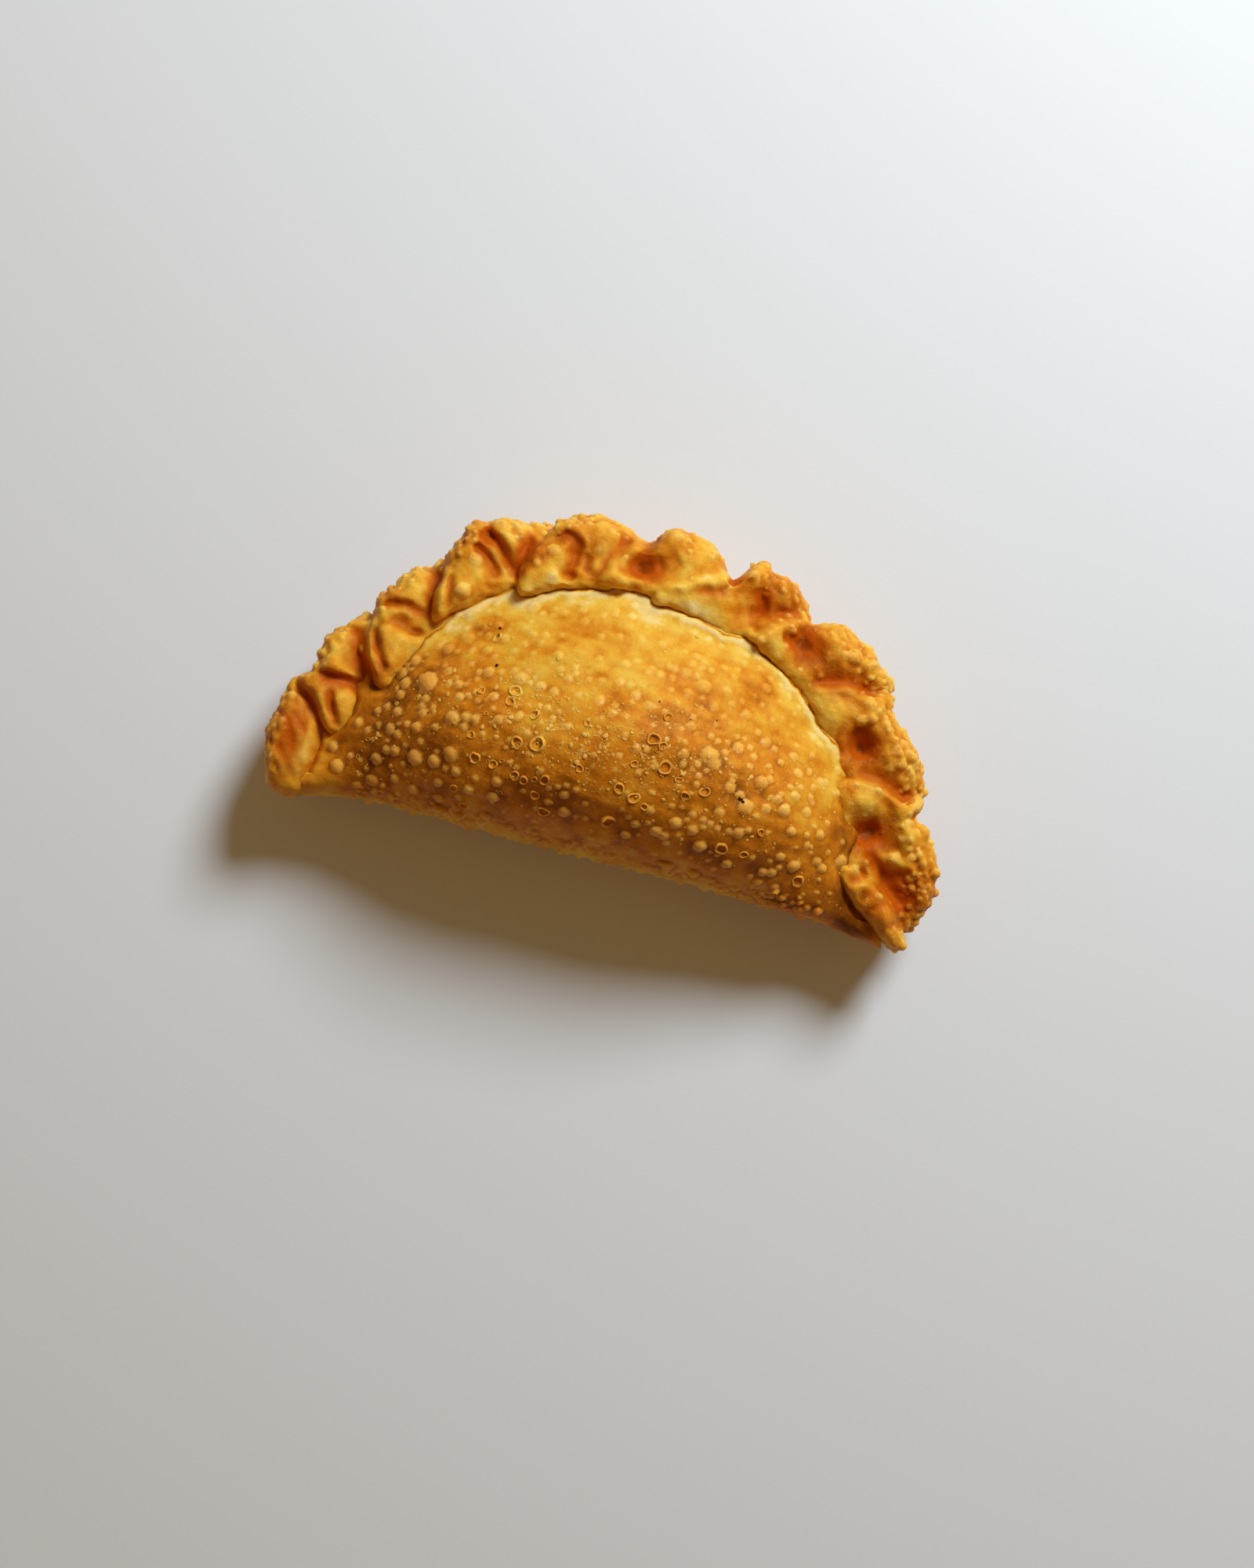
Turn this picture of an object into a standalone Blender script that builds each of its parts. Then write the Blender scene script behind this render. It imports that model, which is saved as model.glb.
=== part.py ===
"""A fried half-moon turnover: a filled pastry pocket, closed along its round edge by a rope of folded pleats.

The pocket is a disc of dough folded in half over its filling, so the fold is a straight, rounded edge and the rim
is a half circle. The sealed rim is turned over onto the pocket in slanted pleats, each lapping the one before it.
X runs along the fold, Y from the fold to the rim, and Z up. The part lies on the flat spot of its lower face.
"""
import math

import bmesh
import bpy
import numpy as np

MM = 0.001

# Driving sizes, in millimetres.
RIM_RADIUS = 57.5  # of the half circle that the rope's middle follows
RIM_CENTRE = np.array([-0.5, -30.0])  # of that half circle: the middle of the fold
POCKET_CENTRE = np.array([-0.5, -8.0])  # where the pocket is thickest
FOLD_Y = -31.0  # how far forward the rounded fold reaches
CROWN_HEIGHT = 37.0
FOLD_HEIGHT = 14.5  # of the fold's foremost line above the table
RIM_HEIGHT = 12.0  # of the sealed rim above the table, inside the rope
SEAL_WIDTH = 1.0  # how far the sealed rim runs past the rope's middle
FOLD_DEPTH = 27.0  # from the fold's foremost line back to where its rounding ends
CORNER_SHARPNESS = 14.0  # of the two corners where the fold meets the rim
CORNER_DROOP = 3.2  # how far the corners sag past the straight of the fold
DROOP_START, DROOP_RUN = 34.0, 24.0  # where along X the sag begins, and over what length it grows
RIM_FULLNESS = 0.95  # profile exponents: a half is a round edge, one is a thin one like a lens's
BELLY_FULLNESS = 0.5
BELLY_SINK = 3.0  # how much of the lower face is pressed flat on the table
LUMP_HEIGHT = 0.5  # the filling's unevenness under the crust

POCKET_SPOKES, POCKET_RINGS = 66, 22  # faces round the pocket and from its crown to its belly
PLEAT_CUTS = 8  # faces along each side of the cube that becomes a pleat

# The rope. Each pleat leaves the pocket at `seam`, and its raised edge crosses the rope to `edge`, both measured
# along the rope's middle from the left end. `inner` and `outer` are its reach to each side of that middle line, and
# `wide` is its width along it, with what the next pleat covers. `top` is its crest above the table, `lift` how
# much its leading edge stands above its trailing one. `hollow` is the dent that the turned dough leaves: its place
# across and outward as shares of the half width, its radius in those shares, and its depth.
PLEATS = (
    dict(seam=-7.0, edge=0.5, wide=15.5, inner=-5.2, outer=7.4, top=19.0, lift=0.5, hollow=(0.3, 0.0, 0.3, 0.6)),
    dict(seam=8.0, edge=17.0, wide=18.5, inner=-6.3, outer=5.8, top=20.5, lift=2.0, hollow=(0.0, 0.2, 0.3, 2.2)),
    dict(seam=23.0, edge=32.5, wide=20.5, inner=-7.4, outer=5.4, top=21.5, lift=2.2, hollow=(0.0, 0.0, 0.3, 2.2)),
    dict(seam=41.0, edge=52.0, wide=20.0, inner=-6.8, outer=7.0, top=22.5, lift=2.4, hollow=(0.1, 0.2, 0.3, 2.4)),
    dict(seam=61.0, edge=67.0, wide=20.0, inner=-7.2, outer=5.6, top=23.0, lift=1.6, hollow=(0.0, -0.2, 0.25, 2.2)),
    dict(seam=78.5, edge=84.0, wide=20.0, inner=-7.2, outer=6.4, top=23.0, lift=1.6, hollow=(-0.1, -0.4, 0.35, 3.0)),
    dict(seam=90.0, edge=103.0, wide=18.5, inner=-8.6, outer=6.8, top=22.5, lift=2.0, hollow=(0.1, 0.0, 0.25, 1.6)),
    dict(seam=111.0, edge=118.5, wide=21.0, inner=-8.0, outer=8.2, top=22.5, lift=2.0, hollow=(-0.1, -0.3, 0.35, 3.2)),
    dict(seam=129.0, edge=139.5, wide=20.5, inner=-7.8, outer=7.6, top=21.5, lift=2.2, hollow=(0.1, -0.4, 0.4, 4.0)),
    dict(seam=148.5, edge=158.0, wide=19.0, inner=-8.8, outer=9.0, top=20.5, lift=2.4, hollow=(0.1, -0.5, 0.4, 4.2)),
    dict(seam=159.0, edge=167.5, wide=14.5, inner=-5.0, outer=7.6, top=16.5, lift=0.5, hollow=(0.2, 0.2, 0.4, 2.4)),
    dict(seam=163.0, edge=175.0, wide=9.5, inner=-9.6, outer=4.6, top=19.5, lift=0.0, hollow=(0.0, 0.0, 0.3, 0.0)),
)
PLEAT_BOTTOM = 6.0  # the rope's underside above the table
PLEAT_SQUARENESS = 2.7  # two is an ellipsoid, more is boxier
LEAN_CURVE = 0.8  # below one, a pleat's raised edge leans more where it leaves the pocket


def globe(spokes, rings):
    """Directions over a closed ball with a pole up and a pole down, with its faces."""
    shell = bmesh.new()
    bmesh.ops.create_uvsphere(shell, u_segments=spokes, v_segments=rings, radius=1.0)
    directions = np.array([v.co[:] for v in shell.verts])
    faces = [[v.index for v in f.verts] for f in shell.faces]
    shell.free()
    return directions, faces


def cube_sphere(cuts, squareness):
    """Directions over a closed ball made from a cube, with its faces; `squareness` two is round."""
    shell = bmesh.new()
    bmesh.ops.create_cube(shell, size=2.0)
    bmesh.ops.subdivide_edges(shell, edges=shell.edges[:], cuts=cuts - 1, use_grid_fill=True)
    corners = np.array([v.co[:] for v in shell.verts])
    faces = [[v.index for v in f.verts] for f in shell.faces]
    shell.free()
    even = np.tan(corners * math.pi / 4)
    length = (np.abs(even) ** squareness).sum(axis=1) ** (1 / squareness)
    return even / length[:, None], faces


def mesh_object(name, points, faces, material):
    """An object at the origin whose mesh holds these points, given in millimetres."""
    mesh = bpy.data.meshes.new(name)
    mesh.from_pydata((points * MM).tolist(), [], faces)
    mesh.materials.append(material)
    mesh.shade_smooth()
    made = bpy.data.objects.new(name, mesh)
    bpy.context.scene.collection.objects.link(made)
    return made


def pocket_reach(heading):
    """From the pocket's centre to its outline: the rim's circle and the fold's line, met in rounded corners."""
    across, along = np.cos(heading), np.sin(heading)
    offset = POCKET_CENTRE - RIM_CENTRE
    towards = offset[0] * across + offset[1] * along
    radius = RIM_RADIUS + SEAL_WIDTH
    to_rim = -towards + np.sqrt(towards**2 - offset @ offset + radius**2)
    to_fold = (POCKET_CENTRE[1] - FOLD_Y) / np.maximum(-along, 1e-6)
    return (to_rim**-CORNER_SHARPNESS + to_fold**-CORNER_SHARPNESS) ** (-1 / CORNER_SHARPNESS)


def evenly_round(turn):
    """Headings whose points lie evenly along the pocket's outline, for shares of a turn from the fold's middle."""
    heading = np.linspace(-math.pi / 2, 1.5 * math.pi, 721)
    reach = pocket_reach(heading)
    outline = np.stack([reach * np.cos(heading), reach * np.sin(heading)], axis=1)
    run = np.concatenate([[0.0], np.cumsum(np.linalg.norm(np.diff(outline, axis=0), axis=1))])
    return np.interp(turn, run / run[-1], heading)


def pocket_rise(plan_x, plan_y, fullness):
    """How full the pocket is over a place, from none at the rim and the fold to one at the crown."""
    radius = np.hypot(plan_x - RIM_CENTRE[0], plan_y - RIM_CENTRE[1])
    from_rim = np.maximum(1 - (radius / (RIM_RADIUS + SEAL_WIDTH)) ** 2, 0.0) ** fullness
    from_fold = np.clip((plan_y - FOLD_Y) / FOLD_DEPTH, 0.0, 1.0)
    return from_rim * np.sqrt(1 - (1 - from_fold) ** 2)


def pocket_points(directions):
    """The pillow: round along the fold, thin where the rim is sealed, and flat where it rests."""
    x, y, z = directions.T
    heading = evenly_round((np.arctan2(y, x) / (2 * math.pi) + 0.25) % 1.0)
    share = np.hypot(x, y)
    reach = pocket_reach(heading)
    plan_x, plan_y = (POCKET_CENTRE[:, None] + reach * share * np.stack([np.cos(heading), np.sin(heading)]))
    edge_x, edge_y = (POCKET_CENTRE[:, None] + reach * np.stack([np.cos(heading), np.sin(heading)]))

    def fullness_over(exponent):
        fullness = pocket_rise(plan_x, plan_y, exponent) - pocket_rise(edge_x, edge_y, exponent) * share**8
        return np.maximum(fullness, 0.0) / pocket_rise(*POCKET_CENTRE, exponent)

    near_fold = np.clip((POCKET_CENTRE[1] - plan_y) / FOLD_DEPTH + 0.5, 0.0, 1.0)
    near_fold = near_fold**2 * (3 - 2 * near_fold)
    edge_height = RIM_HEIGHT + (FOLD_HEIGHT - RIM_HEIGHT) * near_fold
    lumps = np.sin(plan_x / 9.0 + 1.3) * np.cos(plan_y / 8.0 - 0.4) + 0.6 * np.sin((plan_x - plan_y) / 5.5)
    above = fullness_over(RIM_FULLNESS)
    upper = edge_height + (CROWN_HEIGHT - edge_height + LUMP_HEIGHT * lumps) * above
    lower = np.maximum(edge_height - (edge_height + BELLY_SINK) * fullness_over(BELLY_FULLNESS), 0.0)
    sag = np.clip((np.abs(plan_x - POCKET_CENTRE[0]) - DROOP_START) / DROOP_RUN, 0.0, 1.0) ** 2
    return np.stack([plan_x, plan_y - CORNER_DROOP * sag * near_fold, np.where(z >= 0, upper, lower)], axis=1)


def rim_to_plan(along, outward):
    """The place in X and Y of a point so far along the rope's middle and so far outside it."""
    angle = math.pi - along / RIM_RADIUS
    radius = RIM_RADIUS + outward
    return RIM_CENTRE[0] + radius * np.cos(angle), RIM_CENTRE[1] + radius * np.sin(angle)


def pleat_points(directions, pleat):
    """One turned-over fold of the rim: a slanted lobe with a raised leading edge and a dent in its top."""
    x, y, z = directions.T
    outward = (pleat["inner"] + pleat["outer"]) / 2 + (pleat["outer"] - pleat["inner"]) / 2 * y
    leaned = ((y + 1) / 2) ** LEAN_CURVE
    along = pleat["seam"] + (pleat["edge"] - pleat["seam"]) * leaned + pleat["wide"] / 2 * (x + 1)
    middle, half = (pleat["top"] + PLEAT_BOTTOM) / 2, (pleat["top"] - PLEAT_BOTTOM) / 2
    across, out, radius, depth = pleat["hollow"]
    dent = depth * np.exp(-((x - across) ** 2 + (y - out) ** 2) / radius**2) * np.clip(z * 2, 0, 1)
    height = middle + (half - pleat["lift"] / 2) * z - pleat["lift"] * x * 0.8 - dent
    plan_x, plan_y = rim_to_plan(along, outward)
    return np.stack([plan_x, plan_y, height], axis=1)


def crust_material():
    """Fried pastry: golden brown, with a little oil on it."""
    crust = bpy.data.materials.new("fried_crust")
    crust.use_nodes = True
    shader = crust.node_tree.nodes["Principled BSDF"]
    shader.inputs["Base Color"].default_value = (0.62, 0.30, 0.06, 1.0)
    shader.inputs["Roughness"].default_value = 0.45
    shader.inputs["Metallic"].default_value = 0.0
    return crust


def build():
    for old in list(bpy.data.objects):
        bpy.data.objects.remove(old)
    crust = crust_material()

    directions, pocket_faces = globe(POCKET_SPOKES, POCKET_RINGS)
    pocket = pocket_points(directions)
    directions, pleat_faces = cube_sphere(PLEAT_CUTS, PLEAT_SQUARENESS)
    pleats = [pleat_points(directions, pleat) for pleat in PLEATS]
    everything = np.concatenate([pocket, *pleats])
    middle = (everything.min(axis=0) + everything.max(axis=0)) / 2 * (1, 1, 0)

    turnover = mesh_object("empanada", pocket - middle, pocket_faces, crust)
    rope = bpy.data.collections.new("rope")
    bpy.context.scene.collection.children.link(rope)
    for number, points in enumerate(pleats):
        lobe = mesh_object(f"pleat_{number:02d}", points - middle, pleat_faces, crust)
        bpy.context.scene.collection.objects.unlink(lobe)
        rope.objects.link(lobe)
        lobe.hide_render = True
        lobe.display_type = "WIRE"

    join = turnover.modifiers.new("rope joined to pocket", "BOOLEAN")
    join.operation = "UNION"
    join.operand_type = "COLLECTION"
    join.collection = rope
    join.solver = "EXACT"


build()
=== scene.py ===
import math

import bpy
import numpy as np
from mathutils import Matrix, Vector
from mathutils.kdtree import KDTree


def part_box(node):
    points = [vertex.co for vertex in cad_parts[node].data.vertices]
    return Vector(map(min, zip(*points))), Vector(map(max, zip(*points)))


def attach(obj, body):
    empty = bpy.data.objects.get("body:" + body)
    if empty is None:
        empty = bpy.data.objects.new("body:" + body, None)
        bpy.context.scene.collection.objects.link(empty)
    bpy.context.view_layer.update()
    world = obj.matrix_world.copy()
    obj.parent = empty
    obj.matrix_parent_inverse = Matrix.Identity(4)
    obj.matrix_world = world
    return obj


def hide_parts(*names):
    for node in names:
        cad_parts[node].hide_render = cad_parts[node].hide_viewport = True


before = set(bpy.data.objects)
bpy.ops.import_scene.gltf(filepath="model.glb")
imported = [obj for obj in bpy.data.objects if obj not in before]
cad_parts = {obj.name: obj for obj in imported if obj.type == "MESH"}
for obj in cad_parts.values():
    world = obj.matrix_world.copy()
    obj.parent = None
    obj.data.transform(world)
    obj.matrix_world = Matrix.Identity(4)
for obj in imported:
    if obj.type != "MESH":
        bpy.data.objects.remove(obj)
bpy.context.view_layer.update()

# --------------------------------------------------------------------------------------- The pocket
# A round of wheat dough folded in half over its filling, so its straight side is a rounded fold and its rim
# is a half circle. Steam has swollen it, its own weight has pressed a flat spot under it, and hot oil has
# browned it most along the fold. It starts as a ball with its poles at the two tips, pushed into shape.

MM = 0.001
low, high = [np.array(corner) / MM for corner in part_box("empanada")]
half_length = (high[0] - low[0]) / 2

RIM_RADIUS = half_length - 7.4  # of the half circle that the rope's middle follows
RIM_CENTRE = np.array([-0.44, low[1] + 3.95])
POCKET_CENTRE = RIM_CENTRE + (0.0, 22.0)
FOLD_Y = RIM_CENTRE[1] - 1.0
FOLD_DEPTH = 27.0  # from the fold's foremost line back to where its rounding ends
FOLD_HEIGHT, EDGE_HEIGHT = 14.5, 12.0  # of the fold and of the sealed edge above the table
CROWN_HEIGHT = high[2] - 0.55
SEAL_WIDTH = 1.0
CORNER_SHARPNESS = 8.0
CORNER_DROOP, DROOP_START, DROOP_RUN = 3.2, 34.0, 24.0
BELLY_SINK = 3.0


def new_ball(name, segments, rings):
    """A closed ball of radius one, with its poles up and down."""
    bpy.ops.object.select_all(action="DESELECT")
    bpy.ops.mesh.primitive_uv_sphere_add(segments=segments, ring_count=rings, radius=1.0)
    ball = bpy.context.active_object
    ball.name = ball.data.name = name
    bpy.ops.object.shade_smooth()
    return ball


def points_of(piece):
    """A piece's points, in metres."""
    points = np.empty(len(piece.data.vertices) * 3, np.float32)
    piece.data.vertices.foreach_get("co", points)
    return points.reshape(-1, 3).astype(float)


def normals_of(piece):
    """The way the skin faces at each point of a piece."""
    piece.data.update()
    normals = np.empty(len(piece.data.vertices) * 3, np.float32)
    piece.data.vertex_normals.foreach_get("vector", normals)
    return normals.reshape(-1, 3).astype(float)


def move_points(piece, points):
    piece.data.vertices.foreach_set("co", points.astype(np.float32).ravel())
    piece.data.update()


def paint(piece, name, values):
    """Keeps one number for each point of a piece, for its material to read."""
    layer = piece.data.attributes.new(name, "FLOAT", "POINT")
    layer.data.foreach_set("value", np.asarray(values, np.float32))


def smooth_step(low_end, high_end, values):
    """Zero at the low end and one at the high end, smooth between."""
    share = np.clip((values - low_end) / (high_end - low_end), 0.0, 1.0)
    return share**2 * (3 - 2 * share)


def evened(angle, evenness):
    """A cosine whose steps are evened out, so that points don't crowd at its ends."""
    return evenness * (1 - 2 * angle / math.pi) + (1 - evenness) * np.cos(angle)


def crowded_up(turn, share):
    """Turns points round a section so that this share of them lies on its upper half."""
    part = (turn / (2 * math.pi)) % 1.0
    return np.where(part < share, math.pi * part / share, math.pi * (1 + (part - share) / (1 - share)))


def lumps(points, wavelength, seed, waves=9):
    """Uneven swelling from minus one to one, about a wavelength across, at points in millimetres."""
    chance = np.random.default_rng(seed)
    total = np.zeros(len(points))
    for _ in range(waves):
        direction = chance.normal(size=3)
        direction *= 2 * math.pi / wavelength / np.linalg.norm(direction) * chance.uniform(0.6, 1.5)
        total += np.sin(points @ direction + chance.uniform(0, 2 * math.pi))
    return total / waves**0.5 / 1.4


def pocket_rise(x, y, fullness):
    """How full the pocket is over a place, from none at the rim and the fold to one near the crown."""
    radius = np.hypot(x - RIM_CENTRE[0], y - RIM_CENTRE[1])
    corner = smooth_step(38.0, 56.0, np.abs(x - RIM_CENTRE[0])) * smooth_step(-20.0, -30.0, y)
    fullness = fullness * (1 - 0.6 * corner)
    from_rim = np.maximum(1 - (radius / (RIM_RADIUS + SEAL_WIDTH)) ** 2, 0.0) ** fullness
    from_fold = np.clip((y - FOLD_Y) / FOLD_DEPTH, 0.0, 1.0)
    return from_rim * np.sqrt(1 - (1 - from_fold) ** 2)


def pocket_shape(directions):
    """The pillow's points, for a ball's points whose poles become the tips."""
    along, across, up = directions[:, 2], directions[:, 0], directions[:, 1]
    reach = RIM_RADIUS + SEAL_WIDTH
    x = evened(np.arccos(np.clip(along, -1, 1)), 0.75) * reach
    chord = (np.sqrt(np.maximum(reach**2 - x**2, 0.0)) + RIM_CENTRE[1] - FOLD_Y) / 2
    chord *= np.sqrt(np.maximum(1 - np.abs(x / reach) ** CORNER_SHARPNESS, 0.0))
    turn = crowded_up(np.arctan2(up, across), 0.75)
    y = FOLD_Y + chord + chord * evened(np.arccos(np.cos(turn)), 0.6)
    x = x + RIM_CENTRE[0]
    near_fold = smooth_step(-0.5, 0.5, (POCKET_CENTRE[1] - y) / FOLD_DEPTH)
    edge = EDGE_HEIGHT + (FOLD_HEIGHT - EDGE_HEIGHT) * near_fold
    swell = np.sin(x / 9.0 + 1.3) * np.cos(y / 8.0 - 0.4) + 0.6 * np.sin((x - y) / 5.5)
    above = pocket_rise(x, y, 0.95) / pocket_rise(*POCKET_CENTRE, 0.95)
    below = pocket_rise(x, y, 0.5) / pocket_rise(*POCKET_CENTRE, 0.5)
    upper = edge + (CROWN_HEIGHT - edge + 0.5 * swell) * above
    lower = np.maximum(edge - (edge + BELLY_SINK) * below, 0.0)
    sag = np.clip((np.abs(x - RIM_CENTRE[0]) - DROOP_START) / DROOP_RUN, 0.0, 1.0) ** 2
    sag *= np.where(x > 0, 0.75, 1.0)
    return np.stack([x, y - CORNER_DROOP * sag * near_fold, np.where(turn <= math.pi, upper, lower)], axis=1)


pocket = new_ball("pocket", segments=268, rings=358)
ball = points_of(pocket)
skin = pocket_shape(ball)
move_points(pocket, skin * MM)


def raise_domes(points, normals, centres, radii, heights):
    """Lifts an uneven dome of skin over each centre, and tells how much of a dome each moved point is."""
    lift, dome = np.zeros(len(points)), np.zeros(len(points))
    uneven = 1 + 0.06 * lumps(points, 1.8, 41) + 0.04 * lumps(points, 0.9, 42)
    for centre, radius, height in zip(centres, radii, heights):
        near = np.nonzero((np.abs(points - centre) < radius * 1.5).all(axis=1))[0]
        share = np.linalg.norm(points[near] - centre, axis=1) / radius * uneven[near]
        inside = np.clip(1 - share**2, 0.0, 1.0) ** 1.1
        lift[near] = np.maximum(lift[near], height * inside)
        dome[near] = np.maximum(dome[near], smooth_step(0.0, 0.3, inside) * (0.65 + 0.35 * share**2))
    return points + normals * lift[:, None], dome


def furrows(piece, rounds):
    """How deep in a furrow each point lies, below zero on a ridge; more rounds see wider ones."""
    ends = np.empty(len(piece.data.edges) * 2, np.int32)
    piece.data.edges.foreach_get("vertices", ends)
    first, second = ends.reshape(-1, 2).T
    points = points_of(piece) / MM
    count = np.bincount(ends, minlength=len(points))[:, None]
    smoothed = points
    for _ in range(rounds):
        total = [np.bincount(first, smoothed[second, axis], len(points))
                 + np.bincount(second, smoothed[first, axis], len(points)) for axis in range(3)]
        smoothed = np.stack(total, axis=1) / count
    return ((smoothed - points) * normals_of(piece)).sum(axis=1)


# Patches of darker and paler crust as (x, y, spread, change), over what the oil did from the fold up: mostly
# the crust's own uneven tone, while some darker ones beside the rope's edge and near its tail are painted
# shade.
PATCHES = (
    (0.1, 13.5, 8.0, -0.16), (-19.6, 12.5, 6.0, -0.10), (17.7, 14.0, 5.0, -0.10), (34.0, -1.5, 6.0, -0.10),
    (-3.7, 1.5, 6.0, -0.06), (15.6, 0.4, 7.0, 0.10), (22.6, 7.5, 4.0, 0.06), (9.7, -8.4, 6.0, 0.08),
    (-9.4, -17.0, 5.0, 0.08), (-29.5, 7.0, 2.6, 0.26), (-39.0, -6.2, 5.0, 0.10), (-41.0, -15.0, 7.0, 0.16),
    (-1.8, -1.6, 2.6, 0.16), (46.4, -18.0, 5.0, -0.04), (-51.8, -24.0, 2.6, -0.15), (12.5, 8.0, 3.6, 0.10),
    (-10.0, 7.5, 5.0, 0.12), (29.5, -5.5, 3.0, 0.20), (-24.0, -6.5, 2.5, 0.16), (-12.0, -8.0, 4.0, -0.12),
    (17.0, -10.0, 3.5, 0.10), (5.5, 1.0, 2.5, 0.08), (-17.0, 1.0, 3.5, -0.08), (45.5, -13.0, 2.6, 0.20),
    (-42.5, -4.0, 2.6, 0.30), (-36.5, 0.5, 2.8, 0.24), (48.5, -24.0, 3.0, 0.10), (-46.5, -25.0, 3.0, 0.18),
    (-35.5, -10.5, 2.6, -0.18), (-24.0, -15.5, 2.6, -0.12), (6.0, -16.0, 2.6, -0.12),
    (35.5, -13.0, 3.0, -0.20), (30.0, -21.0, 2.8, 0.14), (26.0, 0.0, 4.0, 0.07), (12.0, 15.5, 2.6, -0.12),
    (47.5, -16.5, 2.0, 0.20), (-12.0, -13.0, 2.6, -0.12), (-35.5, -18.5, 2.6, -0.10),
)


def patch(points, x, y, spread):
    """A round patch seen from above: one at its middle, fading to nothing around it."""
    return np.exp(-((points[:, 0] - x) ** 2 + (points[:, 1] - y) ** 2) / (2 * spread**2))


def inside_rim(x, y):
    """How far inside the line of the rope's middle a place lies."""
    return RIM_RADIUS - np.hypot(x - RIM_CENTRE[0], y - RIM_CENTRE[1])


def browning_and_shading(points):
    """How far the crust is fried, from nearly none to one, at places on the pocket in millimetres, with
    painted bounce light and some painted shade mixed in.
    """
    x, y, z = points.T
    fried_and_shaded = 0.41 + 0.19 * smooth_step(2.0, -19.0, y)
    # Paler along the foot of the fold: painted bounce light from the table under it.
    fried_and_shaded -= 0.20 * smooth_step(-25.0, -30.5, y) * smooth_step(42.0, 22.0, x)
    for patch_x, patch_y, spread, change in PATCHES:
        fried_and_shaded += change * patch(points, patch_x, patch_y, spread)
    fried_and_shaded -= 0.08 * smooth_step(13.0, 8.0, inside_rim(x, y)) * smooth_step(-22.0, 0.0, y)
    return np.clip(fried_and_shaded, 0.0, 1.0)


chance = np.random.default_rng(11)
skin = skin + normals_of(pocket) * (0.22 * lumps(skin, 9.0, 3) + 0.10 * lumps(skin, 3.5, 4))[:, None]
# Beside the rope's tail the skin dips by this much, and is painted darker there as the shade the tail casts.
TAIL_DIP = 2.5
beside_tail = np.exp(-(((skin[:, 0] - 52.0) / 5.5) ** 2 + ((skin[:, 1] + 28.0) / 5.0) ** 2) ** 1.5)
skin[:, 2] -= TAIL_DIP * beside_tail * smooth_step(6.0, 12.0, skin[:, 2])
skin[:, 2] = np.maximum(skin[:, 2], 0.0)
move_points(pocket, skin * MM)

NOWHERE = 1e-9  # added to a liking, so that no place is quite ruled out


def scatter(points, likely, number, gap, generator):
    """Picks places on a skin, likelier where `likely` is higher, none nearer another than the gap."""
    order = generator.choice(len(points), size=number * 12, replace=False, p=likely / likely.sum())
    kept = []
    for index in order:
        if all(np.abs(points[index] - points[other]).max() > gap for other in kept):
            kept.append(index)
        if len(kept) == number:
            break
    return np.array(kept)


def on_top(points, normals, places):
    """The points of an upper skin nearest to places seen from above."""
    above = np.nonzero(normals[:, 2] > 0.05)[0]
    upper = points[above]
    return np.array([above[np.argmin(np.hypot(upper[:, 0] - x, upper[:, 1] - y))] for x, y in places])


def blister_liking(points):
    """Where the oil raised blisters: thick over the lower half and the left, few under the rope's shelter."""
    x, y, z = points.T
    lower = 0.15 + smooth_step(4.0, -10.0, y) + 0.5 * smooth_step(-24.0, -36.0, x)
    return lower * smooth_step(8.0, 12.0, inside_rim(x, y)) * np.where(z > 4.0, 1.0, 0.0) + NOWHERE


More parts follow.
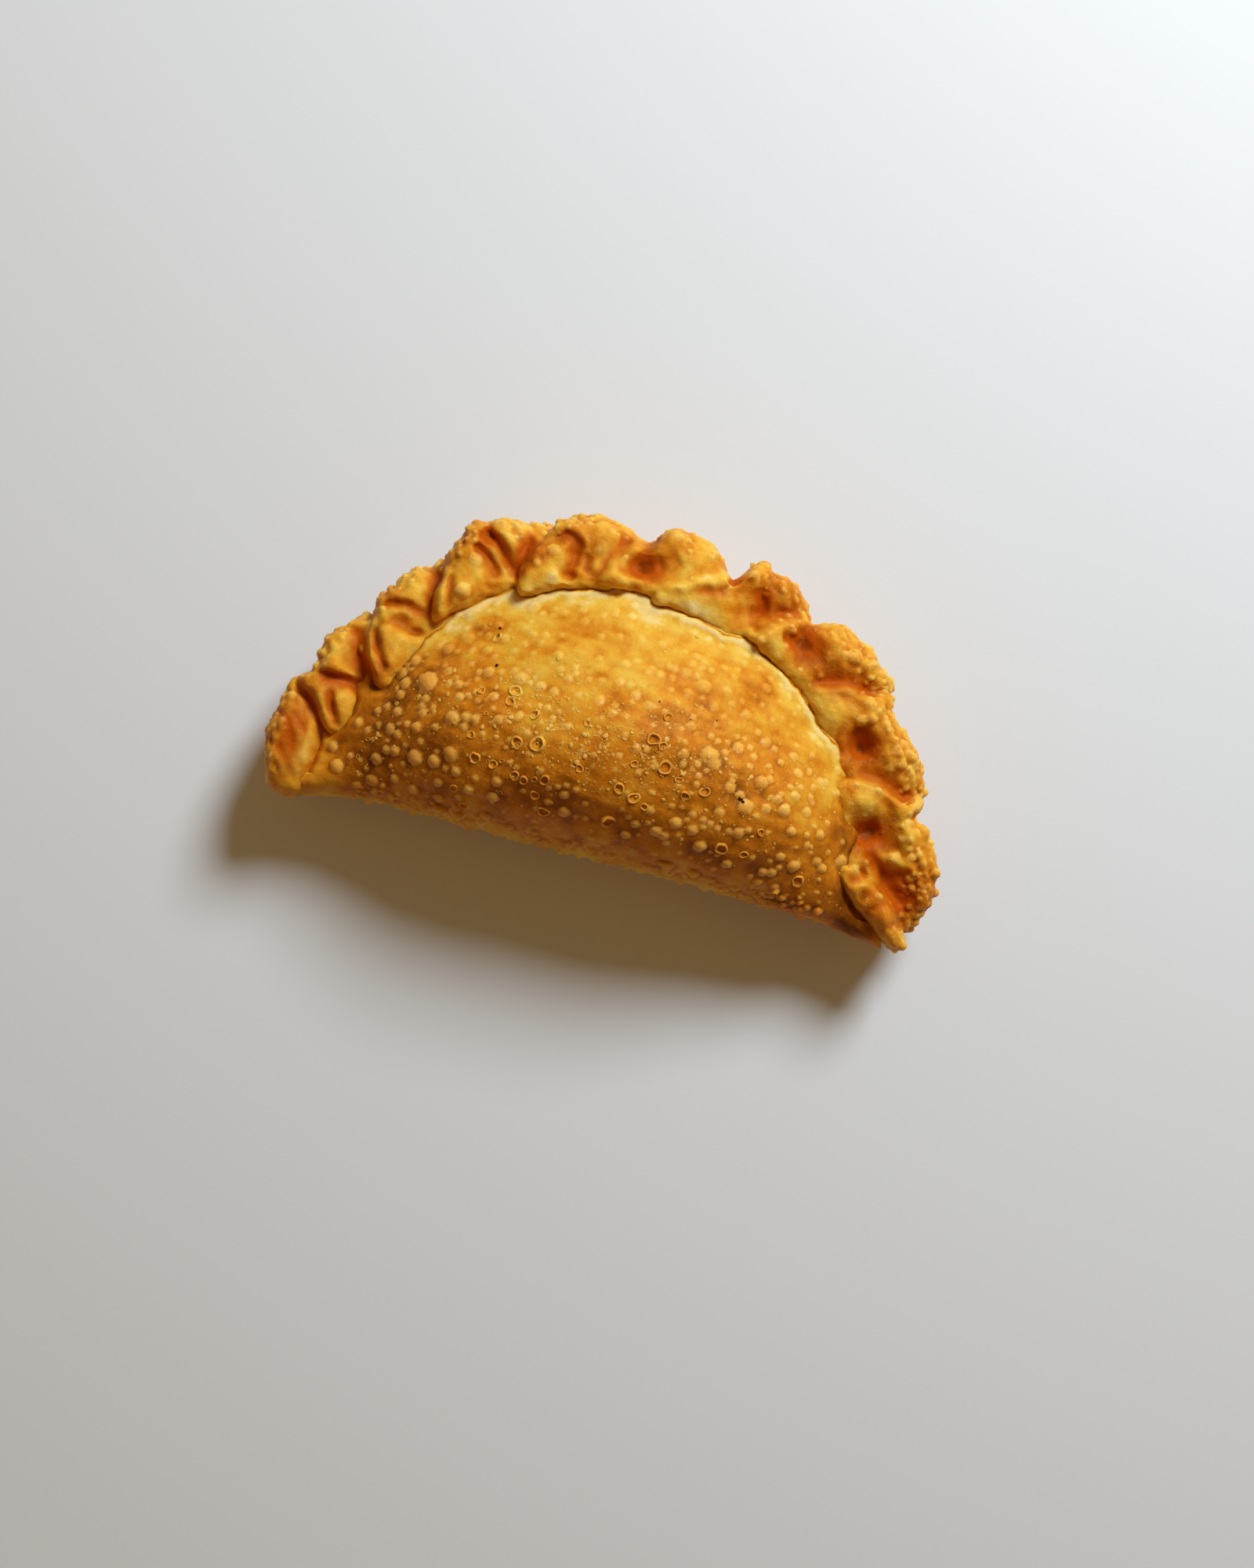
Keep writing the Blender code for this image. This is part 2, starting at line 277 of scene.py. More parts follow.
# Whole blisters as (x, y, radius); the ones below the middle stand high, those near the crown hardly at all.
DOMES = (
    (-41.8, -6.6, 1.3), (-40.8, -8.3, 1.3), (-36.6, -7.0, 2.3), (-40.0, -3.6, 1.2), (-34.4, 0.0, 1.3),
    (-31.3, 2.8, 1.3), (-30.1, 5.7, 0.8), (-30.2, 0.8, 0.9), (-33.3, -4.0, 1.0), (-32.5, -6.4, 0.9),
    (-36.0, -10.1, 0.9), (-35.9, -12.7, 1.0), (-36.2, -15.5, 1.2), (-40.7, -13.7, 1.1), (-42.7, -13.2, 0.8),
    (-44.5, -14.6, 0.9), (-41.1, -17.0, 1.2), (-47.4, -17.5, 1.1), (-43.6, -17.0, 0.8), (-45.3, -18.5, 0.8),
    (-34.8, -17.8, 0.8), (-40.7, -21.1, 1.0), (-39.1, -20.9, 1.1), (-35.1, -21.1, 1.7), (-31.6, -20.8, 1.4),
    (-42.3, -23.1, 1.3), (-51.1, -23.0, 1.2), (-49.4, -26.4, 1.5), (-30.1, -12.4, 1.6), (-27.7, -11.4, 1.1),
    (-26.1, -11.4, 1.1), (-28.9, -18.9, 1.6), (-27.0, -21.4, 1.1), (-23.2, -21.8, 0.8), (-23.9, -24.1, 1.1),
    (-30.0, -24.4, 1.0), (-19.4, -24.3, 1.3), (-19.4, -21.2, 1.1), (-6.0, -23.6, 1.3), (-9.2, -22.5, 0.8),
    (-6.9, -20.5, 1.0), (-29.7, -8.2, 1.0), (-25.9, -2.3, 1.2), (-19.9, -2.1, 1.4), (-23.8, -6.6, 1.0),
    (-34.2, -26.8, 1.2), (-42.1, -27.2, 1.4), (-38.2, -25.8, 1.0), (-29.3, -27.2, 1.1), (12.3, -7.7, 1.0),
    (17.0, -7.0, 1.9), (18.0, -7.9, 1.2), (21.8, -11.4, 1.2), (25.4, -14.1, 1.6), (29.4, -13.6, 1.1),
    (32.8, -12.7, 1.4), (21.3, -16.2, 1.0), (31.1, -11.1, 0.9), (14.1, -20.1, 1.3), (17.4, -20.7, 1.2),
    (16.7, -17.9, 0.9), (18.6, -18.2, 0.8), (20.3, -18.7, 0.8), (7.0, -22.1, 0.9), (11.1, -22.6, 1.3),
    (12.6, -22.8, 1.1), (13.3, -24.1, 0.8), (19.5, -23.1, 1.4), (25.2, -25.1, 1.1), (25.5, -19.1, 1.3),
    (23.9, -19.1, 0.8), (27.1, -18.1, 0.8), (34.9, -16.4, 1.0), (34.4, -21.3, 1.0), (37.3, -22.3, 1.4),
    (35.1, -27.0, 1.0), (32.1, -24.7, 1.1), (33.7, -24.6, 1.1), (38.6, -18.0, 0.8), (41.2, -20.3, 1.0),
    (42.7, -21.4, 1.0), (45.8, -19.3, 1.5), (27.4, -9.0, 1.3), (21.4, -4.1, 1.2), (8.9, 6.7, 1.3),
    (12.6, 5.2, 1.6), (24.1, 8.2, 1.1), (9.9, 3.5, 0.9), (3.3, 10.9, 1.0), (26.4, -1.4, 1.0),
    (5.7, 7.1, 0.9), (-17.7, 6.9, 0.9), (-16.0, -2.5, 1.1), (-11.6, 0.0, 0.9), (-4.8, -2.2, 1.0),
    (36.9, -11.9, 1.0), (-21.5, 11.5, 1.5), (-3.3, 14.6, 1.0), (-6.4, 14.7, 0.8), (-25.3, 4.5, 1.1),
    (-12.2, 13.2, 0.9),
)
skin_normals = normals_of(pocket)
spots = on_top(skin, skin_normals, [place[:2] for place in DOMES])
spared = np.ones(len(skin))
for x, y, radius in DOMES:
    spared *= np.hypot(skin[:, 0] - x, skin[:, 1] - y) > radius + 0.5
# Small strays stand among them, faint ones on the pale crown, and a fringe along the foot of the fold.
strays = scatter(skin, blister_liking(skin) * (0.02 + spared), 230, 1.4, chance)
crown_liking = smooth_step(-16.0, 2.0, skin[:, 1]) * smooth_step(17.0, 24.0, skin[:, 2])
faint = scatter(skin, crown_liking + NOWHERE, 190, 1.5, chance)
fold_liking = smooth_step(-27.0, -30.5, skin[:, 1]) * smooth_step(5.0, 9.0, skin[:, 2])
fold_liking *= smooth_step(48.0, 38.0, np.abs(skin[:, 0]))
fringe = scatter(skin, fold_liking + NOWHERE, 270, 0.95, chance)
spots = np.concatenate([spots, strays, faint, fringe])
radii = np.concatenate([[r for x, y, r in DOMES], 0.45 + chance.exponential(0.18, len(strays)).clip(0, 0.6),
                        chance.uniform(0.5, 1.0, len(faint)),
                        0.55 + chance.exponential(0.28, len(fringe)).clip(0, 0.8)])
standing = 0.25 + 0.18 * smooth_step(3.0, -9.0, skin[spots, 1])
standing[-len(fringe):] = 0.72
skin, pocket_dome = raise_domes(skin, skin_normals, skin[spots], radii,
                                radii * standing * chance.uniform(0.8, 1.2, len(radii)))
move_points(pocket, skin * MM)


def paleness(points):
    """How much paler than the crust a blister is there: blisters stand out most where the crust is dark."""
    y = points[:, 1]
    return (0.30 + 0.70 * smooth_step(6.0, -8.0, y)) * (1 - 0.7 * smooth_step(-25.0, -29.0, y))


paint(pocket, "blister", pocket_dome * paleness(skin))


class Socket:
    """A node's output that can be summed, multiplied and mixed in a Python expression."""

    def __init__(self, tree, output=None):
        self.tree = tree
        self.output = output

    def add(self, kind, values=None, output=0, **settings):
        """A new node of a kind, with its settings and the values or links of its sockets."""
        node = self.tree.nodes.new(kind)
        for stop, (place, colour) in enumerate(settings.pop("stops", ())):
            ramp = node.color_ramp.elements
            element = ramp[stop] if stop < 2 else ramp.new(place)
            element.position, element.color = place, (*colour, 1.0)
        for name, setting in settings.items():
            setattr(node, name, setting)
        for slot, value in (values or {}).items():
            if isinstance(value, Socket):
                self.tree.links.new(value.output, node.inputs[slot])
            else:
                node.inputs[slot].default_value = value
        return Socket(self.tree, node.outputs[output])

    def maths(self, operation, *values):
        return self.add("ShaderNodeMath", dict(enumerate(values)), operation=operation)

    def __add__(self, other):
        return self.maths("ADD", self, other)

    def __sub__(self, other):
        return self.maths("SUBTRACT", self, other)

    def __rsub__(self, other):
        return self.maths("SUBTRACT", other, self)

    def __mul__(self, other):
        return self.maths("MULTIPLY", self, other)

    __radd__ = __add__
    __rmul__ = __mul__

    def stepped(self, low_end, high_end):
        """Zero below the low end and one above the high end, smooth between."""
        ends = {"Value": self, "From Min": low_end, "From Max": high_end}
        return self.add("ShaderNodeMapRange", ends, interpolation_type="SMOOTHSTEP")

    def mixed(self, first, second):
        """The first colour where this is zero, and the second where it is one."""
        return self.add("ShaderNodeMix", {0: self, 6: first, 7: second}, output=2, data_type="RGBA")


def fried_dough(name, glow):
    """Fried dough: golden to red-brown by how far it is fried and by painted light and shade, with pale
    blisters, and hollows painted in shade: red-orange as painted bounce light, dark red-brown where deepest.
    """
    material = bpy.data.materials.new(name)
    material.use_nodes = True
    tree = material.node_tree
    shader = tree.nodes["Principled BSDF"]
    start = Socket(tree)
    place = start.add("ShaderNodeTexCoord", output="Object")

    def mottle(size, detail=3.0, rough=0.55):
        return place.add("ShaderNodeTexNoise", {"Vector": place, "Scale": 1 / (size * MM), "Detail": detail,
                                                "Roughness": rough})

    fried_and_shaded = start.add("ShaderNodeAttribute", output="Fac", attribute_name="fried_and_shaded")
    blister = start.add("ShaderNodeAttribute", output="Fac", attribute_name="blister")
    hollow = start.add("ShaderNodeAttribute", output="Fac", attribute_name="hollow")
    fizz = start.add("ShaderNodeAttribute", output="Fac", attribute_name="fizz")
    broad, fine, grain = mottle(6.5), mottle(2.2), mottle(0.55, 2.0)
    done = fried_and_shaded + (broad - 0.5) * 0.70 + (fine - 0.5) * 0.34 + (grain - 0.5) * 0.12
    apart = place.add("ShaderNodeTexVoronoi", {"Vector": place, "Scale": 1 / (1.5 * MM)}, output="Distance")
    fleck = (1 - (apart + (grain - 0.5) * 0.9 + (fine - 0.5) * 0.8).stepped(0.14, 0.34)) * fizz
    crust = done.add("ShaderNodeValToRGB", {0: done}, stops=(
        (0.0, (0.84, 0.59, 0.21)), (0.98, (0.11, 0.027, 0.001)), (0.16, (0.80, 0.475, 0.058)),
        (0.36, (0.75, 0.345, 0.024)), (0.54, (0.66, 0.21, 0.008)), (0.74, (0.38, 0.105, 0.004))))
    skin_colour = blister.add("ShaderNodeValToRGB", {0: done}, stops=(
        (0.15, (0.90, 0.57, 0.14)), (0.9, (0.72, 0.34, 0.060)), (0.5, (0.83, 0.43, 0.075))))
    pale = (blister * (0.85 + (fine - 0.5) * 0.7) + fleck * 0.75).mixed(crust, skin_colour)
    # Painted shade in hollows: red-orange as painted bounce light where it is shallow, dark red-brown where
    # deepest; the same red-orange also gives plain deep orange dough its own tone.
    orange_and_bounce = hollow.stepped(0.0, 0.7).mixed(pale, (0.50, 0.080, 0.001, 1.0))
    deepest_shade = hollow.stepped(0.7, 1.0).mixed(orange_and_bounce, (0.19, 0.028, 0.001, 1.0))
    tree.links.new(deepest_shade.output, shader.inputs["Base Color"])
    sheen = 0.46 + (fine - 0.5) * 0.25 + (grain - 0.5) * 0.2 - blister * 0.12
    tree.links.new(sheen.output, shader.inputs["Roughness"])
    pits = mottle(0.35, 2.0) * 0.30 + mottle(0.9, 3.0) * 0.45 + mottle(2.0, 2.0) * 0.25 + fleck * 0.5
    relief = {"Strength": 0.6, "Distance": 0.4 * MM, "Height": pits}
    bump = start.add("ShaderNodeBump", relief, output="Normal")
    tree.links.new(bump.output, shader.inputs["Normal"])
    shader.inputs["Subsurface Weight"].default_value = glow
    shader.inputs["Subsurface Radius"].default_value = (1.0, 0.36, 0.05)
    shader.inputs["Subsurface Scale"].default_value = 0.0018
    gloss = blister * 0.10
    tree.links.new(gloss.output, shader.inputs["Coat Weight"])
    shader.inputs["Coat Roughness"].default_value = 0.22
    shader.inputs["Specular IOR Level"].default_value = 0.14
    shader.inputs["Specular Tint"].default_value = (1.0, 0.72, 0.34, 1.0)
    return material


crust_finish = fried_dough("fried_crust", glow=0.5)
thin_finish = fried_dough("thin_crust", glow=0.0)
pocket.data.materials.append(crust_finish)


def belongs(piece):
    """The piece rides on the turnover's one body and stands for its solid."""
    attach(piece, "root")
    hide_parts("empanada")


belongs(pocket)

# ----------------------------------------------------------------------------------------- The rope
# The two edges of the round, pressed together and turned over onto the pocket in twelve slanted pleats, each
# lapping the one before it. Each pleat is a ball pushed into a slanted lobe and bent round the rim. Folds,
# creases and hollows that the fingers left are then pressed into all of them together.

# Where each starts along the rim at its seam and at its edge, its width, how far in and out it reaches, its
# top above the table, by how much it laps the one before it, and at its inner end how much wider it is, how
# square (two is an oval, more is squarer) and how far it climbs the pocket.
PLEATS = (
    # seam, edge, width, inner, outer, top, lap, spread, square, climb
    (-6.8, -2.6, 20.2, -4.5, 6.9, 20.9, 1.6, 0.0, 2.3, 0.8),
    (7.0, 16.5, 19.0, -8.0, 5.8, 20.5, 2.0, 2.5, 3.2, 0.6),
    (23.0, 32.5, 20.5, -9.8, 5.4, 21.5, 2.2, 4.0, 5.5, 2.0),
    (41.0, 52.0, 20.0, -6.8, 7.0, 22.5, 2.4, 4.0, 5.5, 1.6),
    (61.0, 67.0, 20.0, -8.5, 5.6, 23.0, 1.6, 4.0, 8.0, 2.2),
    (78.5, 84.0, 20.0, -8.0, 6.4, 23.0, 1.6, 4.0, 8.0, 2.6),
    (90.0, 103.0, 18.5, -9.6, 6.8, 22.5, 2.0, 4.0, 9.0, 2.6),
    (111.0, 118.5, 21.0, -8.0, 8.2, 22.5, 2.0, 4.0, 7.0, 1.2),
    (129.0, 139.5, 20.5, -8.3, 7.6, 21.5, 2.2, 4.0, 5.5, 1.0),
    (148.5, 158.0, 19.0, -10.6, 9.0, 20.5, 2.4, 4.0, 5.5, 2.6),
    (159.0, 167.5, 14.5, -7.0, 7.6, 16.5, 0.5, 1.0, 5.5, 2.6),
    (162.6, 177.4, 8.2, -12.4, 4.8, 20.0, 0.0, 0.0, 2.4, 4.2),
)
PLEAT_BOTTOM, LEAN_CURVE, OUTER_SQUARE = 6.0, 0.8, 2.7


def rim_to_plan(along, outward):
    """The place in X and Y of a point so far along the rope's middle and so far outside it."""
    angle = math.pi - along / RIM_RADIUS
    radius = RIM_RADIUS + outward
    return RIM_CENTRE[0] + radius * np.cos(angle), RIM_CENTRE[1] + radius * np.sin(angle)


def plan_to_rim(points):
    """How far points lie along the rope's middle and how far outside it."""
    away = points[:, :2] - RIM_CENTRE
    angle = np.arctan2(away[:, 1], away[:, 0])
    angle = np.where(angle < -math.pi / 2, angle + 2 * math.pi, angle)
    return (math.pi - angle) * RIM_RADIUS, np.linalg.norm(away, axis=1) - RIM_RADIUS


def pleat_shape(directions, seam, edge, width, inner, outer, top, lap, spread, square, climb):
    """One slanted lobe, for a ball's points whose poles become its ends at the pocket and outside."""
    turn = crowded_up(np.arctan2(directions[:, 0], directions[:, 1]), 0.70)
    latitude = np.arccos(np.clip(directions[:, 2], -1, 1))
    ring = np.sin(latitude)
    way = np.stack([ring * np.cos(turn), np.cos(latitude), ring * np.sin(turn)], axis=1)
    squareness = OUTER_SQUARE + (square - OUTER_SQUARE) * smooth_step(0.3, -0.5, way[:, 1])
    way /= ((np.abs(way) ** squareness[:, None]).sum(axis=1) ** (1 / squareness))[:, None]
    x, y, z = way.T
    outward = (inner + outer) / 2 + (outer - inner) / 2 * y
    leaned = ((y + 1) / 2) ** LEAN_CURVE
    along = seam + (edge - seam) * leaned + width / 2 * (x + 1)
    along += spread / 2 * x * (1 - y) / 2
    middle, half = (top + PLEAT_BOTTOM) / 2, (top - PLEAT_BOTTOM) / 2
    height = middle + (half - lap / 2) * z - lap * x * 0.8 + climb * np.clip(-y, 0, 1)
    return np.stack([*rim_to_plan(along, outward), height], axis=1)


lobes = []
for number, pleat in enumerate(PLEATS):
    lobe = new_ball(f"pleat_{number:02d}", segments=120, rings=68)
    move_points(lobe, pleat_shape(points_of(lobe), *pleat) * MM)
    lobes.append(lobe)
bpy.ops.object.select_all(action="DESELECT")
for lobe in lobes:
    lobe.select_set(True)
bpy.context.view_layer.objects.active = lobes[0]
bpy.ops.object.join()
rope = bpy.context.active_object
rope.name = rope.data.name = "rope"


def eased(piece, rounds):
    """Rounds off a piece's sharp places, as dough does while it rests."""
    bpy.context.view_layer.objects.active = piece
    bpy.ops.object.modifier_add(type="SMOOTH")
    piece.modifiers[-1].factor, piece.modifiers[-1].iterations = 0.5, rounds
    bpy.ops.object.modifier_apply(modifier=piece.modifiers[-1].name)


bpy.ops.object.modifier_add(type="REMESH")
rope.modifiers[-1].mode, rope.modifiers[-1].voxel_size = "VOXEL", 0.38 * MM
bpy.ops.object.modifier_apply(modifier=rope.modifiers[-1].name)
rope.data.shade_smooth()
eased(rope, 8)

# Folds stand up and creases go down along a line of places in X and Y, by this height and half this width.
FOLDS = (
    (0.35, 0.8, (-58.6, -14.0), (-56.2, -18.0), (-55.2, -22.5), (-55.3, -27.4), (-57.0, -30.9)),
    (0.9, 0.8, (-56.4, -11.5), (-55.4, -15.0), (-53.8, -18.3), (-51.9, -21.4)),
    (0.8, 1.4, (-52.8, -12.5), (-50.6, -14.5), (-50.7, -17.5)),
    (0.7, 0.5, (-56.8, -9.0), (-53.4, -9.2), (-50.2, -9.7)),
    (1.1, 0.8, (-50.3, 3.0), (-50.4, -0.9), (-48.3, -5.1), (-45.3, -9.1)),
    (0.9, 0.7, (-48.3, 1.3), (-47.3, 3.9), (-44.4, 4.8), (-41.1, 3.9)),
    (0.8, 0.6, (-39.3, 15.2), (-38.7, 10.2), (-38.0, 5.3)),
    (0.9, 1.1, (-38.5, 16.1), (-38.0, 19.7), (-36.7, 23.7), (-33.1, 24.2)),
    (0.9, 0.6, (-36.5, 20.1), (-34.5, 21.0), (-32.1, 20.1), (-29.6, 17.8), (-28.0, 15.7)),
    (0.9, 1.1, (-24.7, 18.2), (-24.2, 23.0), (-22.2, 26.7), (-18.4, 29.7)),
    (0.9, 0.9, (-10.6, 30.5), (-11.0, 26.3), (-12.0, 22.9), (-12.4, 20.0)),
    (1.1, 0.7, (-1.0, 20.2), (1.6, 21.6), (4.4, 22.4), (7.6, 24.2), (10.6, 24.8), (13.2, 26.8), (15.6, 27.4)),
    (1.0, 0.8, (31.2, 10.0), (35.1, 11.1), (39.7, 12.1), (44.6, 10.6)),
    (0.8, 1.0, (46.7, 8.5), (49.2, 4.8), (48.9, 0.3)),
    (1.0, 0.8, (43.1, -3.7), (47.7, -3.6), (51.6, -4.5), (55.4, -7.1)),
    (0.5, 1.0, (53.0, -6.3), (55.8, -9.6), (57.8, -14.5)),
    (0.7, 0.9, (48.6, -15.2), (53.2, -16.8), (57.5, -17.2), (61.1, -19.0)),
    (0.9, 1.2, (62.2, -16.0), (63.0, -20.0), (62.6, -24.5)),
)
CREASES = (
    (0.9, 0.5, (-60.0, -12.0), (-56.8, -15.8), (-54.6, -19.5), (-53.6, -23.5), (-54.2, -28.0),
     (-56.4, -32.5)),
    (0.3, 0.4, (-60.6, -16.0), (-60.0, -21.0), (-58.4, -25.0), (-58.2, -30.5)),
    (0.3, 0.35, (-57.6, -18.5), (-57.0, -22.5), (-57.4, -27.5)),
    (1.2, 0.5, (-54.6, -12.2), (-53.3, -16.0), (-51.0, -19.8)),
    (2.0, 0.7, (-58.0, -9.8), (-53.6, -10.2), (-49.6, -10.9), (-46.1, -11.5)),
    (2.4, 0.9, (-52.8, 0.9), (-52.1, -3.0), (-50.1, -7.3), (-47.0, -10.4)),
    (1.6, 0.55, (-49.0, 1.3), (-48.4, -1.6), (-46.8, -4.7), (-44.6, -7.7)),
    (1.6, 0.6, (-49.9, 4.4), (-47.0, 5.7), (-43.6, 5.7), (-40.3, 4.7)),
    (1.5, 0.8, (-41.5, 15.4), (-40.7, 10.9), (-39.9, 7.4), (-38.5, 4.0)),
    (1.2, 0.5, (-37.7, 14.6), (-37.4, 10.2), (-37.0, 5.8)),
    (2.4, 0.9, (-35.2, 23.3), (-32.1, 22.1), (-29.5, 19.2), (-27.0, 16.1)),
    (1.6, 0.6, (-35.5, 19.6), (-32.8, 18.9), (-30.5, 16.7), (-28.9, 14.5)),
    (2.0, 0.8, (-25.5, 26.1), (-25.8, 21.8), (-26.5, 18.3), (-25.8, 15.2)),
    (1.8, 0.6, (-21.6, 23.6), (-20.2, 25.8), (-18.2, 26.4), (-16.8, 25.2), (-16.4, 22.6), (-16.6, 19.2),
     (-16.8, 16.4)),
    (1.2, 0.8, (-14.4, 24.0), (-14.4, 20.1)),
    (1.3, 0.8, (-7.0, 29.8), (-8.6, 26.3), (-10.6, 22.8), (-10.6, 19.6)),
    (1.2, 1.2, (-9.4, 22.3), (-5.9, 22.8), (-2.9, 23.6)),
    (1.0, 1.0, (-5.4, 27.2), (-4.1, 25.6), (-2.5, 24.0)),
    (0.8, 0.9, (-1.4, 24.1), (1.5, 25.7), (3.2, 26.9)),
    (0.6, 0.8, (4.0, 21.0), (8.9, 23.0), (12.9, 24.4)),
    (1.6, 0.6, (18.6, 26.5), (19.1, 24.6), (19.9, 22.5), (17.9, 20.1)),
    (1.6, 0.7, (12.7, 27.0), (14.0, 25.4)),
    (1.4, 0.7, (18.8, 16.6), (21.4, 20.2), (25.0, 22.4), (28.2, 23.7)),
    (1.4, 0.9, (24.2, 17.7), (26.8, 18.3), (29.3, 17.7)),
    (1.4, 0.7, (30.8, 10.7), (34.7, 12.1), (39.7, 13.2), (45.2, 12.4)),
    (1.4, 1.0, (41.8, 5.4), (43.5, 3.4), (46.0, 1.0)),
    (1.4, 1.0, (38.1, 1.3), (41.7, 1.1), (45.3, 1.7)),
    (1.1, 0.7, (42.6, -2.3), (47.8, -2.5), (52.3, -3.7), (56.6, -6.3)),
    (1.4, 1.1, (45.6, -13.5), (48.5, -12.6), (51.8, -11.5)),
    (1.6, 0.6, (48.6, -16.0), (51.2, -17.0), (53.4, -19.0), (56.2, -21.8), (59.5, -24.4), (60.8, -26.8)),
    (1.3, 0.6, (47.6, -22.6), (49.8, -21.6), (51.6, -19.4)),
    (1.0, 0.6, (50.6, -25.2), (52.8, -24.0), (54.8, -21.8)),
    (0.8, 0.5, (52.3, -27.0), (54.4, -25.6), (56.6, -23.6)),
    (0.8, 0.5, (55.8, -30.2), (58.0, -28.8), (60.2, -27.0)),
)
# Hollows and swells as (x, y, reach in X, reach in Y, height).
MOUNDS = (
    (-44.1, 2.4, 2.4, 1.3, -1.6), (-41.5, 1.4, 1.0, 0.6, -2.0), (-3.1, 23.9, 3.0, 2.2, -3.0),
    (-4.3, 20.2, 1.1, 0.6, -1.6), (19.3, 18.5, 0.7, 0.6, -1.4), (16.9, 21.0, 2.2, 1.2, -1.0),
    (29.1, 18.2, 2.6, 2.2, -3.0), (44.4, 2.4, 2.6, 2.4, -3.0), (50.4, -12.6, 3.0, 2.4, -4.2),
    (47.6, -14.0, 1.6, 1.6, -1.6), (56.6, -19.4, 3.0, 1.6, -1.6), (-16.8, 18.7, 1.0, 0.6, -1.2),
    (-30.3, 13.4, 1.4, 0.8, -1.4), (-54.4, -4.6, 3.0, 3.0, 0.8), (-44.6, -1.4, 1.8, 2.6, 1.0),
    (-43.9, 9.2, 2.8, 3.0, 0.7), (-33.4, 16.0, 2.6, 2.8, 0.8), (-34.7, 11.3, 1.6, 1.6, 0.7),
    (-28.4, 22.5, 2.8, 2.6, 0.8), (-18.6, 22.7, 1.8, 2.6, 0.8), (-13.2, 26.3, 2.2, 2.6, 0.7),
    (5.5, 26.9, 3.4, 2.6, 0.7), (0.4, 31.2, 2.4, 1.4, 0.9), (-6.4, 21.0, 2.8, 0.9, 0.6),
    (7.9, 22.0, 4.0, 1.5, 0.4), (22.8, 27.9, 2.2, 1.8, 0.7), (25.3, 25.1, 2.2, 2.0, 0.5),
    (16.3, 28.2, 2.0, 1.5, 0.6), (13.9, 22.3, 2.2, 1.6, 0.5), (22.5, 16.5, 2.8, 1.6, 0.8),
    (35.0, 17.0, 4.0, 2.6, 0.7), (30.7, 12.3, 2.6, 1.6, 0.6), (36.4, 6.5, 2.6, 1.8, 0.7),
    (52.4, 1.3, 2.8, 3.2, 0.7), (47.0, -7.9, 2.2, 2.0, 0.7), (48.6, -19.2, 2.0, 2.0, 1.2),
    (52.2, -21.8, 1.7, 1.7, 1.0), (53.6, -23.8, 1.8, 1.8, 0.9), (57.3, -27.4, 1.8, 1.8, 0.8),
    (-19.6, 18.4, 2.0, 1.0, 0.6),
)


def curve_through(places, steps=8):
    """A smooth line through a few places."""
    knots = np.array([2 * np.array(places[0]) - places[1], *places, 2 * np.array(places[-1]) - places[-2]])
    line = []
    for first, second, third, fourth in zip(knots[:-3], knots[1:-2], knots[2:-1], knots[3:]):
        bend = 2 * first - 5 * second + 4 * third - fourth
        twist = 3 * second - first - 3 * third + fourth
        for t in np.arange(steps) / steps:
            line.append(0.5 * (2 * second + (third - first) * t + bend * t**2 + twist * t**3))
    return np.array([*line, knots[-2]])


def near_line(points, places, reach):
    """Which points lie near a line seen from above, how far from it, and a share that fades towards its ends.

    The distance is positive on the side further along the rim, whose dough laps over the other's.
    """
    line = curve_through(places)
    plan = points[:, :2]
    boxed = (plan > line.min(axis=0) - reach) & (plan < line.max(axis=0) + reach)
    near = np.nonzero(boxed.all(axis=1))[0]
    here = plan[near]
    best, share, signed = np.full(len(near), 1e9), np.zeros(len(near)), np.zeros(len(near))
    for step, (start, end) in enumerate(zip(line[:-1], line[1:])):
        run = end - start
        t = np.clip((here - start) @ run / (run @ run), 0, 1)
        away = here - start - t[:, None] * run
        apart = np.linalg.norm(away, axis=1)
        closer = apart < best
        best[closer] = apart[closer]
        share[closer] = ((step + t) / (len(line) - 1))[closer]
        signed[closer] = np.copysign(apart, run[0] * away[:, 1] - run[1] * away[:, 0])[closer]
    run, out = line[-1] - line[0], line.mean(axis=0) - RIM_CENTRE
    further = np.sign(-run[0] * out[0] - run[1] * out[1])
    return near, signed * (further or 1.0), smooth_step(0.0, 0.2, share) * smooth_step(1.0, 0.8, share)


# The outer edge is drawn in between the pleats and stands out elsewhere, as (along the rim, reach, inwards).
NOTCHES = (
    (0.5, 4.0, 1.0), (16.0, 1.8, -2.2), (20.0, 2.5, 0.6), (31.0, 3.5, 1.3), (39.5, 3.5, 1.2),
    (46.5, 2.0, 1.7), (56.0, 2.0, -1.0), (66.5, 3.0, 1.9), (82.0, 3.0, 0.8), (87.0, 2.6, 3.4),
    (95.0, 5.0, 1.2), (100.5, 2.5, 1.4), (104.0, 1.8, 4.2), (107.0, 1.2, -1.0), (109.5, 2.6, 0.8),
    (116.0, 3.0, 0.8), (120.5, 2.4, 3.2), (125.5, 3.0, 1.0), (137.5, 2.6, -2.6), (144.0, 3.5, 1.3),
    (157.0, 2.0, -0.9), (160.0, 1.5, 2.6), (164.0, 2.0, 1.4), (174.0, 2.0, -1.0), (178.0, 2.0, 0.8),
)
dough = points_of(rope) / MM
along, outward = plan_to_rim(dough)
drawn_in = sum(inwards * np.exp(-(((along - place) / reach) ** 2)) for place, reach, inwards in NOTCHES)
torn = (0.35 * lumps(dough, 5.0, 12) + 0.22 * lumps(dough, 2.0, 13)) * smooth_step(-5.0, -8.0, outward)
outward += torn - drawn_in * smooth_step(-2.0, 4.0, outward)
dough[:, :2] = np.stack(rim_to_plan(along, outward), axis=1)
move_points(rope, dough * MM)
dough_normals = normals_of(rope)
# How far into shade each point lies in the creases and hollows, and how high on a fold's crest, for painted
# shade and painted light.
relief, painted_crease_shade, painted_crest_light = np.zeros(len(dough)), np.zeros(len(dough)), np.zeros(len(dough))
